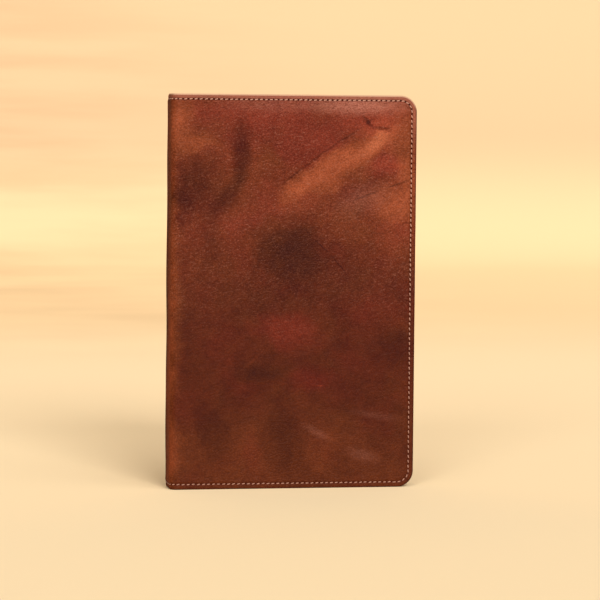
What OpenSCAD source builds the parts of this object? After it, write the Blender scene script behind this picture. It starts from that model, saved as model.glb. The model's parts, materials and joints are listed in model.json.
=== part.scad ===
// Leather notebook cover, closed and standing, with the hardback notebook that it holds.
// +Z is up the spine, the front cover faces -Y and the spine is at -X.
// The origin is under the middle of the closed cover. Lengths are in millimetres.

/* [Cover] */
// Height of the cover
cover_h = 224; // [220:1:240]
// Width of the closed cover, from spine to fore edge
cover_w = 141.4; // [139:0.2:160]
// Thickness of the closed cover
cover_t = 21; // [19:0.5:26]
// Outer radius of the two rounded corners at the fore edge
corner_r = 9.5; // [6:0.5:14]
// Outer radius of the leather where it bends round the spine
bend_r = 4.4; // [3.4:0.1:5]

/* [Leather] */
// Thickness of the outer leather
leather_t = 1.8; // [1.4:0.1:2]
// Thickness of the lining
lining_t = 0.6; // [0.5:0.1:0.8]
// Thickness of the leather of the inner pockets
pocket_t = 1.0; // [0.8:0.1:1.2]
// Width of each inner pocket, from the fore edge to its free edge
pocket_w = 85; // [60:1:110]

/* [Seam] */
// Distance of the seam from the fore edge and from the bottom edge
seam_inset = 3.0; // [2.5:0.1:3.6]
// Distance of the seam from the top edge
seam_inset_top = 3.0; // [2.2:0.1:3.6]
// Width of the seam's groove
seam_w = 1.0; // [0.6:0.1:1.2]
// Depth of the seam's groove
seam_d = 0.35; // [0.2:0.05:0.4]

/* [Notebook] */
// Height of the notebook's boards
book_h = 210; // [190:1:212]
// Width of the closed notebook
book_w = 130; // [110:1:131]
// Thickness of a board
board_t = 1.8; // [1.4:0.1:2.2]
// Thickness of an endpaper
paper_t = 0.2; // [0.1:0.05:0.3]
// Thickness of the notebook's spine strip
strip_t = 1.2; // [0.8:0.1:1.4]
// Width of the joint between the spine strip and a board
joint_w = 5; // [4:0.5:8]
// Radius of the notebook's corners at the fore edge
book_corner_r = 8; // [5:0.5:9]
// How far the pages stand back from the boards at the head and the tail
square_z = 3; // [2:0.5:4]
// How far the pages stand back from the boards at the fore edge
square_x = 1.3; // [1:0.1:3]

/* [Hidden] */
// Space left between two bodies that move past each other
gap = 0.3;
// Space left between the pages and the pockets, and between the two halves of the pages
page_gap = 0.2;
split_gap = 0.05;
// Room round a board in its pocket
room = 1;
// Overshoot of a cutting shape
cut = 1;
$fn = 96;

// The cover's outer faces
front_y = -cover_t / 2;
spine_x = -cover_w / 2;
fore_x = cover_w / 2;

// Centre of the bend at the front fold, and the axis about which its leather folds
// without stretching: the bend's quarter turn becomes a straight of the same length
bend_x = spine_x + bend_r;
bend_y = front_y + bend_r;
neutral_r = bend_r - leather_t / 2;
fold_x = bend_x - neutral_r * PI / 4;
fold_y = bend_y - neutral_r * PI / 4;
// The spine ends on a cylinder about the fold that holds the whole of the bend
fold_r = norm([bend_x - fold_x, front_y - fold_y]) + 0.05;

// Faces between the layers of the front cover, from the outside in
lining_y = front_y + leather_t;
inside_y = lining_y + lining_t;
pastedown_y = inside_y + board_t;
pocket_y = pastedown_y + paper_t;
pages_y = pocket_y + pocket_t + page_gap;

// Depths of the same layers below the cover's outer surface
lining_d = leather_t;
inside_d = leather_t + lining_t;

// The notebook stands on the bottom seam
book_z = seam_inset + seam_w / 2 + 2.5;
strip_x = spine_x + inside_d;
// The notebook's spine strip fills the flat of the spine, between the two bends
strip_w = cover_t - 2 * bend_r;
board_x = strip_x + strip_t + joint_w;
board_end_x = strip_x + book_w;
pages_x = strip_x + strip_t + gap;
pages_end_x = board_end_x - square_x;
pocket_x = fore_x - pocket_w;

hide = [0.46, 0.21, 0.14];
hide_dark = [0.36, 0.17, 0.10];
suede = [0.30, 0.18, 0.12];
thread = [0.74, 0.50, 0.38];
cloth = [0.10, 0.10, 0.11];
cream = [0.93, 0.89, 0.78];
ivory = [0.88, 0.83, 0.71];

// Outline seen from the front, with round corners at the fore edge only
module leaf_2d(x0, x1, z0, z1, r) {
  translate([x0, z0])
    square([x1 - x0 - r, z1 - z0]);
  translate([x0, z0 + r])
    square([x1 - x0, z1 - z0 - 2 * r]);
  for (z = [z0 + r, z1 - r])
    translate([x1 - r, z])
      circle(r);
}

// Outline of a cover, drawn in from its edges by the given distances
module cover_2d(x0, inset, inset_top) {
  leaf_2d(x0, fore_x - inset, inset, cover_h - inset_top, corner_r - inset);
}

// Line of the seam along three sides of a cover, from x0 to the fore edge
module seam_2d(x0) {
  difference() {
    cover_2d(x0, seam_inset - seam_w / 2, seam_inset_top - seam_w / 2);
    cover_2d(x0 - cut, seam_inset + seam_w / 2, seam_inset_top + seam_w / 2);
  }
}

// Plate that fills an outline from y0 to y1
module plate(y0, y1) {
  translate([0, y1, 0])
    rotate([90, 0, 0])
      linear_extrude(y1 - y0)
        children();
}

// The space round a fold that only the spine may use
module fold_clearance() {
  translate([fold_x, fold_y, -cut])
    cylinder(r = fold_r + gap, h = cover_h + 2 * cut);
}

// A layer of the front cover, from the fold to the fore edge
module cover_layer(y0, y1) {
  difference() {
    plate(y0, y1)
      cover_2d(bend_x - neutral_r / 4, 0, 0);
    fold_clearance();
  }
}

// The front cover's seam on the outside, on the lining and on the pocket
module cover_seam_outside() {
  difference() {
    plate(front_y, front_y + seam_d)
      seam_2d(bend_x - neutral_r / 4);
    fold_clearance();
  }
}

module cover_seam_on_lining() {
  difference() {
    plate(inside_y - seam_d, inside_y)
      intersection() {
        seam_2d(bend_x - neutral_r / 4);
        translate([spine_x, 0])
          square([pocket_x - spine_x, cover_h]);
      }
    fold_clearance();
  }
}

module cover_seam_on_pocket() {
  plate(inside_y + pocket_t - seam_d, inside_y + pocket_t)
    seam_2d(pocket_x);
}

// Section of all that lies deeper than d below the outside of the closed cover
module inside_2d(d) {
  translate([bend_x, front_y + d])
    square([cover_w, cover_t - 2 * d]);
  translate([spine_x + d, bend_y])
    square([cover_w, cover_t - 2 * bend_r]);
  for (s = [-1, 1])
    translate([bend_x, s * bend_y])
      circle(bend_r - d);
}

// Section of the spine's layer that lies between the depths d0 and d1
module spine_2d(d0, d1) {
  intersection() {
    difference() {
      inside_2d(d0);
      inside_2d(d1);
    }
    union() {
      translate([spine_x - cut, fold_y])
        square([bend_x - spine_x + cut, -2 * fold_y]);
      for (s = [-1, 1])
        translate([fold_x, s * fold_y])
          circle(fold_r);
    }
  }
}

// The spine's two stretches of seam, at the tail and at the head
module spine_seam(d0, d1) {
  for (z = [seam_inset, cover_h - seam_inset_top])
    translate([0, 0, z - seam_w / 2])
      linear_extrude(seam_w)
        spine_2d(d0, d1);
}

module outer_leather() {
  difference() {
    cover_layer(front_y, lining_y);
    cover_seam_outside();
  }
}

module lining() {
  difference() {
    cover_layer(lining_y, inside_y);
    cover_seam_on_lining();
  }
}

// A pocket is stitched down round three sides and steps up over the board
module pocket() {
  wall = room + pocket_t;
  difference() {
    union() {
      plate(inside_y, inside_y + pocket_t)
        cover_2d(pocket_x, 0, 0);
      plate(inside_y, pocket_y + pocket_t)
        leaf_2d(pocket_x, board_end_x + wall, book_z - wall, book_z + book_h + wall,
          book_corner_r + wall);
    }
    plate(inside_y - cut, pocket_y)
      leaf_2d(pocket_x - cut, board_end_x + room, book_z - room, book_z + book_h + room,
        book_corner_r + room);
    cover_seam_on_pocket();
  }
}

module stitching() {
  cover_seam_outside();
  cover_seam_on_lining();
  cover_seam_on_pocket();
}

module board() {
  plate(inside_y, pastedown_y)
    leaf_2d(board_x, board_end_x, book_z, book_z + book_h, book_corner_r);
}

module pastedown() {
  plate(pastedown_y, pocket_y)
    leaf_2d(board_x, board_end_x - square_x, book_z + square_z, book_z + book_h - square_z,
      book_corner_r);
}

// Half of the page block, or a part of its thickness
module leaves(y0, y1) {
  plate(y0, y1)
    leaf_2d(pages_x, pages_end_x, book_z + square_z, book_z + book_h - square_z,
      book_corner_r);
}

// The back half is the mirror image of the front half
module at_back() {
  mirror([0, 1, 0])
    children();
}

module front_panel() {
  color(hide)
    outer_leather();
}

module back_panel() {
  color(hide)
    at_back()
      outer_leather();
}

module spine_panel() {
  color(hide_dark)
    difference() {
      linear_extrude(cover_h)
        spine_2d(0, lining_d);
      spine_seam(0, seam_d);
    }
}

module front_lining() {
  color(suede)
    lining();
}

module back_lining() {
  color(suede)
    at_back()
      lining();
}

module spine_lining() {
  color(suede)
    difference() {
      linear_extrude(cover_h)
        spine_2d(lining_d, inside_d);
      spine_seam(inside_d - seam_d, inside_d);
    }
}

module front_pocket() {
  color(hide_dark)
    pocket();
}

module back_pocket() {
  color(hide_dark)
    at_back()
      pocket();
}

module front_stitching() {
  color(thread)
    stitching();
}

module back_stitching() {
  color(thread)
    at_back()
      stitching();
}

module spine_stitching() {
  color(thread) {
    spine_seam(0, seam_d);
    spine_seam(inside_d - seam_d, inside_d);
  }
}

module notebook_front_board() {
  color(cloth)
    board();
}

module notebook_back_board() {
  color(cloth)
    at_back()
      board();
}

module notebook_spine_strip() {
  color(cloth)
    translate([strip_x, -strip_w / 2, book_z])
      cube([strip_t, strip_w, book_h]);
}

module front_pastedown() {
  color(ivory)
    pastedown();
}

module back_pastedown() {
  color(ivory)
    at_back()
      pastedown();
}

module front_flyleaf() {
  color(ivory)
    leaves(pages_y, pages_y + paper_t);
}

module back_flyleaf() {
  color(ivory)
    at_back()
      leaves(pages_y, pages_y + paper_t);
}

module front_pages() {
  color(cream)
    leaves(pages_y + paper_t, -split_gap);
}

module back_pages() {
  color(cream)
    at_back()
      leaves(pages_y + paper_t, -split_gap);
}

front_panel();
spine_panel();
back_panel();
front_lining();
spine_lining();
back_lining();
front_pocket();
back_pocket();
front_stitching();
spine_stitching();
back_stitching();
notebook_front_board();
notebook_spine_strip();
notebook_back_board();
front_pastedown();
back_pastedown();
front_flyleaf();
back_flyleaf();
front_pages();
back_pages();
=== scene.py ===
"""Leather notebook cover, closed and standing, with the hardback notebook that it holds.

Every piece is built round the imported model, in metres: +Z is up the spine, the front cover
faces -Y and the spine is at -X. Shapes are worked out in millimetres, as whole arrays.
"""

import json
import math

import bpy
import numpy as np
from mathutils import Matrix, Vector


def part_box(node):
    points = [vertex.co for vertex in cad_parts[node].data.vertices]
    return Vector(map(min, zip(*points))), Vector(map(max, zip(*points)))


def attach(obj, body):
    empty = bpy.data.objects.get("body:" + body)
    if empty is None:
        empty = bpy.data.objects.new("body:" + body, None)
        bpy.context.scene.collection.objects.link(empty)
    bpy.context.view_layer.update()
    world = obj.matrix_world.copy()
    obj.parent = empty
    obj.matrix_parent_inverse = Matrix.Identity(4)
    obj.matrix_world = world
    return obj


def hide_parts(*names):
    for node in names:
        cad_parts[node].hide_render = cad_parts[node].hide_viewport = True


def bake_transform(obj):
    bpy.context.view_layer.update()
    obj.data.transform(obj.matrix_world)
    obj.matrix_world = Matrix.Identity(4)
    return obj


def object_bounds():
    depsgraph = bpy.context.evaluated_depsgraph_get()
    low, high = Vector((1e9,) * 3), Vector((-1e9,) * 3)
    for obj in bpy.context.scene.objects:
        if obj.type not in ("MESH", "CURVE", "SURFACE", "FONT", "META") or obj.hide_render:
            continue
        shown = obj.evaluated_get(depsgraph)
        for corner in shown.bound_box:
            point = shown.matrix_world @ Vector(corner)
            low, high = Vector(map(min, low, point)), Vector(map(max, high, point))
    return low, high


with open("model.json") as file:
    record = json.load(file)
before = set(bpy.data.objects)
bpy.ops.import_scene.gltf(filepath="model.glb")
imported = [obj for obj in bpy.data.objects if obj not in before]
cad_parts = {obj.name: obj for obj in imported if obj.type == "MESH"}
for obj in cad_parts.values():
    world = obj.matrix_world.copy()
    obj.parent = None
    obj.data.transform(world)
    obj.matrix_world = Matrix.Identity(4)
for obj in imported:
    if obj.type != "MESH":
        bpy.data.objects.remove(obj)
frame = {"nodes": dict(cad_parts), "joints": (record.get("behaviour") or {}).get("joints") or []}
CAD_BOX = [list(corner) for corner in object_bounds()]

bl_info = {
    "name": "Leather Notebook Cover",
    "version": (1, 0, 0),
    "blender": (4, 5, 0),
    "location": "View3D > Sidebar > Notebook Cover",
    "description": "Builds a leather notebook cover, the notebook in it and a plain studio",
    "category": "Add Mesh",
}

MM = 0.001


def node_box(node):
    """Lowest and highest corners of a CAD node, in millimetres."""
    return [np.array(corner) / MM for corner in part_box(node)]


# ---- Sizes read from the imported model, in millimetres ----

LOW, HIGH = (np.array(corner) / MM for corner in CAD_BOX)
COVER_H = HIGH[2]
SPINE_X, FORE_X = LOW[0], HIGH[0]
FRONT_Y = LOW[1]
PANEL = node_box("front_panel")
LINING = node_box("front_lining")
POCKET = node_box("front_pocket")
BOARD = node_box("notebook_front_board")
STRIP = node_box("notebook_spine_strip")
PAGES = node_box("front_pages")
ENDPAPER = node_box("front_pastedown")
LEATHER_D = PANEL[1][1] - FRONT_Y
INSIDE_D = LINING[1][1] - FRONT_Y
BOARD_D = BOARD[1][1] - FRONT_Y
ENDPAPER_D = ENDPAPER[1][1] - FRONT_Y
POCKET_T = POCKET[1][1] - ENDPAPER[1][1]
STRIP_D = STRIP[1][0] - SPINE_X
FOLD = next(np.array(j["pos_m"][:2]) / MM for j in frame["joints"] if j["name"] == "front_fold")
# The outer radius of the bend, from where its leather folds without stretching
BEND_R = (FOLD[0] - SPINE_X - LEATHER_D * np.pi / 8) / (1 - np.pi / 4)
BEND_X, BEND_Y = SPINE_X + BEND_R, FRONT_Y + BEND_R
# Distances along the outer surface from the middle of the spine: where the bend starts,
# where the flat front starts, and the fore edge
BEND_S = -BEND_Y
FACE_S = BEND_S + BEND_R * np.pi / 2
FORE_S = FACE_S + FORE_X - BEND_X

# The corner radii of the cover and of the notebook, and how far in from the rim the seam runs
CORNER_R, BOOK_CORNER_R, SEAM_IN = 9.5, 8.0, 3.0
# How far each half of the pages stands off the plane where the halves meet in the open notebook
GUTTER = 0.15
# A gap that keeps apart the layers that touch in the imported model
CLEAR = 0.01
# How far the hide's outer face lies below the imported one, to leave room for its waves
SINK = 0.1
# The share of the seam's groove that shows on the inner leather
INNER_GROOVE = 0.6
# Sides of a stitch and of a headband
TUBE_SIDES = 8
# The two halves, with the side of the middle plane that each is worked out on
SIDES = (("front", 1), ("back", -1))
# Rings of grid lines in from a rim, close together round the rim and on the seam
RIM = np.array([0, 0.06, 0.2, 0.5, 0.9, 1.4, 1.9, 2.3, 2.7, 3.1, 3.5, 3.9, 4.4, 5, 5.8, 6.8, 8, 9.5])
PLAIN_RIM = np.array([0, 0.06, 0.2, 0.5, 1.0, 1.8, 2.8, 4.0, 5.4, 6.8, 8])
FREE_RIM = np.array([0, 0.06, 0.2, 0.5, 0.9, 1.2, 1.5, 1.8, 2.2, 3.0])


# ---- Properties ----


class CoverSizes(bpy.types.PropertyGroup):
    """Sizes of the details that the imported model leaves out."""

    stitch_pitch: bpy.props.FloatProperty(
        name="Stitch pitch",
        description="Distance from one stitch to the next",
        default=0.00282,
        unit="LENGTH",
    )
    stitch_length: bpy.props.FloatProperty(
        name="Stitch length",
        description="Length of the thread that shows between two holes",
        default=0.0021,
        unit="LENGTH",
    )
    stitch_slant: bpy.props.FloatProperty(
        name="Stitch slant",
        description="How far a stitch leans across the seam",
        default=0.0004,
        unit="LENGTH",
    )
    thread_width: bpy.props.FloatProperty(
        name="Thread width", description="Width of the sewing thread", default=0.0006, unit="LENGTH"
    )
    groove_depth: bpy.props.FloatProperty(
        name="Groove depth",
        description="Depth of the groove that the seam pulls into the leather",
        default=0.00028,
        unit="LENGTH",
    )
    crown: bpy.props.FloatProperty(
        name="Crown",
        description="How far the cover's edges fall back from its faces",
        default=0.0008,
        unit="LENGTH",
    )
    waviness: bpy.props.FloatProperty(
        name="Waviness",
        description="Height of the long waves in the hide",
        default=0.00012,
        unit="LENGTH",
    )


class CoverColours(bpy.types.PropertyGroup):
    """Colours of the plain finishes."""

    thread: bpy.props.FloatVectorProperty(
        name="Thread",
        description="Colour of the waxed thread",
        default=(0.65, 0.34, 0.245),
        subtype="COLOR",
    )
    lining: bpy.props.FloatVectorProperty(
        name="Lining",
        description="Colour of the suede lining",
        default=(0.105, 0.048, 0.028),
        subtype="COLOR",
    )
    pocket: bpy.props.FloatVectorProperty(
        name="Pocket",
        description="Colour of the pocket leather",
        default=(0.17, 0.065, 0.032),
        subtype="COLOR",
    )
    cloth: bpy.props.FloatVectorProperty(
        name="Book cloth",
        description="Colour of the notebook's cloth",
        default=(0.018, 0.018, 0.021),
        subtype="COLOR",
    )
    endpaper: bpy.props.FloatVectorProperty(
        name="Endpaper",
        description="Colour of the endpapers",
        default=(0.47, 0.405, 0.285),
        subtype="COLOR",
    )
    paper: bpy.props.FloatVectorProperty(
        name="Pages",
        description="Colour of the pages",
        default=(0.52, 0.465, 0.365),
        subtype="COLOR",
    )
    backdrop: bpy.props.FloatVectorProperty(
        name="Backdrop",
        description="Colour of the studio paper",
        default=(0.86, 0.68, 0.427),
        subtype="COLOR",
    )


def sizes():
    return bpy.context.scene.notebook_cover_sizes


def colours():
    return bpy.context.scene.notebook_cover_colours


# ---- Shapes ----


def ease(t):
    """0 below 0, 1 above 1, and a smooth step between them."""
    t = np.clip(t, 0, 1)
    return t * t * (3 - 2 * t)


def closed_cover(s, d):
    """Section of the closed front half. s runs along the outer surface from the middle of the
    spine and d down into the leather: straight along the spine, a quarter turn of the bend's
    radius, straight along the front."""
    turn = np.clip((s - BEND_S) / BEND_R, 0, np.pi / 2)
    x = BEND_X - (BEND_R - d) * np.cos(turn) + np.maximum(s - FACE_S, 0)
    y = BEND_Y - (BEND_R - d) * np.sin(turn) + np.maximum(BEND_S - s, 0)
    return x, y


def cover_point(s, d, z):
    """Points of the closed front half: closed_cover's section at the height z."""
    return np.stack([*closed_cover(s, d), z], axis=2)


def front_s(x):
    """The distance along the outer surface of a place on the front, from its place across."""
    return x - BEND_X + FACE_S


def grid_lines(low, high, pitch, start=RIM, end=RIM):
    """Lines from low to high: the rings at the two ends and even steps of about the pitch
    between them."""
    first, last = low + start, high - end[::-1]
    steps = int(np.ceil((last[0] - first[-1]) / pitch))
    return np.concatenate([first[:-1], np.linspace(first[-1], last[0], steps + 1), last[1:]])


def round_corners(s, z, end, low, high, radius):
    """Turns the two square corners of a grid at s = end into arcs: the square ring that is m in
    from the corner's two sides becomes the arc of radius minus m, with the ring's diagonal point
    at 45 degrees."""
    a, b = end - s, np.minimum(z - low, high - z)
    corner = (a < radius) & (b < radius)
    left = np.maximum(radius - np.minimum(a, b), 1e-9)
    turn = np.where(a < b, (radius - b) / left, 2 - (radius - a) / left) * np.pi / 4
    a_new = np.where(corner, radius - left * np.cos(turn), a)
    b_new = np.where(corner, radius - left * np.sin(turn), b)
    return end - a_new, np.where(z < (low + high) / 2, low + b_new, high - b_new)


def inset_from(s, z, end, low, high, radius):
    """Distance in from the tail, the fore edge or the head, whichever is nearest, measured from
    the arc at a corner."""
    a, b = end - s, np.minimum(z - low, high - z)
    corner = (a < radius) & (b < radius)
    return np.where(corner, radius - np.hypot(radius - a, radius - b), np.minimum(a, b))


def cover_inset(s, z):
    return inset_from(s, z, FORE_S, 0, COVER_H, CORNER_R)


def edge_round(inset, radius):
    """How far a surface drops at an inset from a rim that is rounded to a quarter circle."""
    left = np.clip(radius - inset, 0, radius)
    return radius - np.sqrt(radius**2 - left**2)


# The seam's path: along the tail to the fore edge, up it, and back along the head
STRAIGHT_S = FORE_S - CORNER_R
SEAM_R = CORNER_R - SEAM_IN
TAIL_END = STRAIGHT_S + SEAM_R * np.pi / 2
FORE_END = TAIL_END + COVER_H - 2 * CORNER_R
HEAD_START = FORE_END + SEAM_R * np.pi / 2
SEAM_END = HEAD_START + STRAIGHT_S


def seam_place(s, z):
    """For a point of the cover: the distance along the seam of the seam's nearest point, and how
    far in from it."""
    a, b, tail = FORE_S - s, np.minimum(z, COVER_H - z), z < COVER_H / 2
    corner = (a < CORNER_R) & (b < CORNER_R)
    turn = np.arctan2(CORNER_R - b, CORNER_R - a)
    round_tail, round_head = STRAIGHT_S + SEAM_R * (np.pi / 2 - turn), FORE_END + SEAM_R * turn
    along = np.select(
        [corner & tail, corner, a < b, tail],
        [round_tail, round_head, TAIL_END + z - CORNER_R, s],
        HEAD_START + STRAIGHT_S - s,
    )
    return along, cover_inset(s, z) - SEAM_IN


def seam_point(along, off):
    """The point of the cover that is `along` the seam and `off` in from it: the inverse of
    seam_place."""
    tail_turn = np.clip(np.pi / 2 - (along - STRAIGHT_S) / SEAM_R, 0, np.pi / 2)
    head_turn = np.clip((along - FORE_END) / SEAM_R, 0, np.pi / 2)
    tail = along < (TAIL_END + FORE_END) / 2
    turn = np.where(tail, tail_turn, head_turn)
    reach = SEAM_R - off
    straight = np.where(tail, np.maximum(STRAIGHT_S - along, 0), np.maximum(along - HEAD_START, 0))
    up = np.clip(along - TAIL_END, 0, FORE_END - TAIL_END)
    s = STRAIGHT_S - straight + reach * np.cos(turn)
    b = CORNER_R - reach * np.sin(turn)
    return s, np.where(tail, b + up, COVER_H - b - (FORE_END - TAIL_END - up))


def stitch_scale():
    """Distances along the seam and the number of stitches up to each: the stitches are a tenth
    longer near the spine, and their pitch falls to the even one over a few centimetres."""
    longer, reach = 0.1, 22
    along = np.linspace(0, SEAM_END, 2001)
    from_spine = np.minimum(along, SEAM_END - along)
    pitch = sizes().stitch_pitch / MM * (1 + longer * np.exp(-from_spine / reach))
    count = np.concatenate([[0], np.cumsum(np.diff(along) * 2 / (pitch[1:] + pitch[:-1]))])
    return along, count * round(count[-1]) / count[-1]


def long_waves(s, z):
    """A sum of nine long waves across the hide in random directions, from about -2 to 2."""
    rng, shortest, longest = np.random.default_rng(11), 32, 105
    total = np.zeros_like(s)
    for _ in range(9):
        wave, turn = rng.uniform(shortest, longest), rng.uniform(0, np.pi)
        phase = rng.uniform(0, 2 * np.pi)
        total += np.sin((s * np.cos(turn) + z * np.sin(turn)) * 2 * np.pi / wave + phase) / 2
    return total


def crown(s, z):
    """How far a layer of the cover falls back near its rims: a parabola over a few millimetres."""
    fore_reach, end_reach = 11, 7
    fore = np.clip(1 - (FORE_S - s) / fore_reach, 0, 1) ** 2
    ends = np.clip(1 - np.minimum(z, COVER_H - z) / end_reach, 0, 1) ** 2
    return sizes().crown / MM * (1 - (1 - fore) * (1 - ends))


def seam_relief(off):
    """The seam's groove and the two soft ridges beside it, as a depth: bell curves of the
    distance from the seam and from each ridge."""
    width, ridge_share, ridge_at, ridge_width = 0.5, 0.4, 1.5, 0.75
    groove = np.exp(-((off / width) ** 2))
    ridges = np.exp(-(((np.abs(off) - ridge_at) / ridge_width) ** 2))
    return sizes().groove_depth / MM * (groove - ridge_share * ridges)


def outside_depth(s, z, side):
    """Depth of the cover's outer face below the flat packed face. The long waves fade to a quarter
    towards the rims, over a dozen millimetres."""
    fade = 0.25 + 0.75 * ease(cover_inset(s, z) / 12)
    wave = long_waves(side * s, z) * sizes().waviness / MM * fade
    return crown(s, z) + seam_relief(seam_place(s, z)[1]) + SINK - wave


def inner_face(depth, s, z):
    """An inner face's depth with the seam's groove pulled into it from inside."""
    return depth - INNER_GROOVE * seam_relief(seam_place(s, z)[1])


def over_board(s, z):
    """1 over the notebook's board, falling to 0 about two millimetres outside it, where a pocket
    is sewn down."""
    level, slope = 0.35, 1.9
    end = FORE_S - (FORE_X - BOARD[1][0])
    out = -inset_from(s, z, end, BOARD[0][2], BOARD[1][2], BOOK_CORNER_R)
    return 1 - ease((out - level) / slope)


def pocket_under(s, z):
    """Depth of a pocket's outer side: on the lining round the rim, and stepped up over the board
    and its endpaper."""
    return INSIDE_D + crown(s, z) + (ENDPAPER_D - INSIDE_D) * over_board(s, z)


# ---- Meshes ----


def as_mesh(name, points, faces, side=1, values=(), sharp=None):
    """A smooth mesh object from points in millimetres and an array or list of faces. side -1
    gives the mirror image at the back, with its faces turned so that they still point outwards."""
    points = np.asarray(points, float) * (MM, MM * side, MM)
    loops = np.concatenate([np.asarray(f)[:, ::side].ravel() for f in faces])
    counts = np.concatenate([np.full(len(f), np.asarray(f).shape[1]) for f in faces])
    mesh = bpy.data.meshes.new(name)
    mesh.vertices.add(len(points))
    mesh.vertices.foreach_set("co", points.ravel())
    mesh.loops.add(len(loops))
    mesh.loops.foreach_set("vertex_index", loops.astype(np.int32))
    mesh.polygons.add(len(counts))
    mesh.polygons.foreach_set("loop_start", (np.cumsum(counts) - counts).astype(np.int32))
    mesh.polygons.foreach_set("use_smooth", np.ones(len(counts), bool))
    mesh.update(calc_edges=True)
    if mesh.validate():
        raise RuntimeError(f"{name}: the mesh had faults")
    for attribute, value in dict(values).items():
        layer = mesh.attributes.new(attribute, "FLOAT_VECTOR", "POINT")
        layer.data.foreach_set("vector", np.asarray(value, np.float32).ravel())
    if sharp is not None:
        ends = np.empty(len(mesh.edges) * 2, np.int32)
        mesh.edges.foreach_get("vertices", ends)
        layer = mesh.attributes.new("sharp_edge", "BOOLEAN", "EDGE")
        layer.data.foreach_set("value", sharp[ends.reshape(-1, 2)].all(axis=1))
    piece = bpy.data.objects.new(name, mesh)
    bpy.context.scene.collection.objects.link(piece)
    return piece


def grid_faces(columns, rows, first=0):
    """Quads of a grid whose points are numbered column by column."""
    i, j = np.meshgrid(np.arange(columns - 1), np.arange(rows - 1), indexing="ij")
    corner = first + (i * rows + j).ravel()
    return np.stack([corner, corner + rows, corner + rows + 1, corner + 1], axis=1)


def rim_loop(columns, rows):
    """Numbers of a grid's outline points, in order round it."""
    number = np.arange(columns * rows).reshape(columns, rows)
    return np.concatenate([number[:-1, 0], number[-1, :-1], number[:0:-1, -1], number[0, :0:-1]])


def shell(name, outer, inner, rims=(), side=1, values=(), sharp=None):
    """A closed shell: an outer grid, an inner grid of the same shape turned round, and walls
    between their outlines that may pass through further outlines. outer and inner are (columns,
    rows, 3) arrays in millimetres, and values are the same for each of them, with the outline
    points' values taken from the outer grid."""
    columns, rows, _ = outer.shape
    count = columns * rows
    outline = rim_loop(columns, rows)
    points = [outer.reshape(-1, 3), inner.reshape(-1, 3)]
    loops = [outline]
    for k, rim in enumerate(rims):
        points.append(rim.reshape(-1, 3)[outline])
        loops.append(2 * count + k * len(outline) + np.arange(len(outline)))
    loops.append(count + outline)
    faces = [grid_faces(columns, rows), grid_faces(columns, rows, count)[:, ::-1]]
    for near, far in zip(loops, loops[1:]):
        faces.append(np.stack([near, far, np.roll(far, -1), np.roll(near, -1)], axis=1))
    stacked = {}
    for attribute, (outer_value, inner_value) in dict(values).items():
        flat = outer_value.reshape(-1, 3)
        walls = [flat[outline]] * len(rims)
        stacked[attribute] = np.concatenate([flat, inner_value.reshape(-1, 3)] + walls)
    marks = None
    if sharp is not None:
        flat = sharp.ravel()
        marks = np.concatenate([flat, flat] + [flat[outline]] * len(rims))
    return as_mesh(name, np.concatenate(points), faces, side, stacked, marks)


def cover_columns(pitch):
    """Lines across the front half: even along the spine, close together round the bend, and then
    to the fore edge."""
    spine = np.linspace(0, BEND_S, 6)[:-1]
    bend = np.linspace(BEND_S, FACE_S, 11)[:-1]
    return np.concatenate([spine, bend, grid_lines(FACE_S, FORE_S, pitch, np.array([0, 0.9]))])


def cover_layer(name, side, columns, outer, inner, rounds, free=None, pitch=1.3):
    """A layer of one half of the cover between two depths, with its rims rounded. free is where
    a pocket's free edge is. The hide value is the place on the whole hide, across it, up it and
    down into it; the seam value is the number of stitches along the seam, the distance in from
    the seam and the distance in from the rim."""
    s, z = np.meshgrid(columns, grid_lines(0, COVER_H, pitch), indexing="ij")
    s, z = round_corners(s, z, FORE_S, 0, COVER_H, CORNER_R)
    inset = cover_inset(s, z)
    edge = inset if free is None else np.minimum(inset, s - free)
    depths = outer(s, z) + edge_round(edge, rounds[0]), inner(s, z) - edge_round(edge, rounds[1])
    along, off = seam_place(s, z)
    number = np.interp(along, *stitch_scale())
    across = side * (s + 1e-6) - FACE_S + BEND_X
    faces = [cover_point(s, d, z) for d in depths]
    values = {
        "hide": [np.stack([across, z, d], axis=2) for d in depths],
        "seam": [np.stack([number, off, inset], axis=2)] * 2,
    }
    if free is not None:
        values["free_edge"] = [np.stack([s - free] * 3, axis=2)] * 2
    sharp = (s < 1e-6) if free is None else None
    return shell(name, *faces, side=side, values=values, sharp=sharp)


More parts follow.
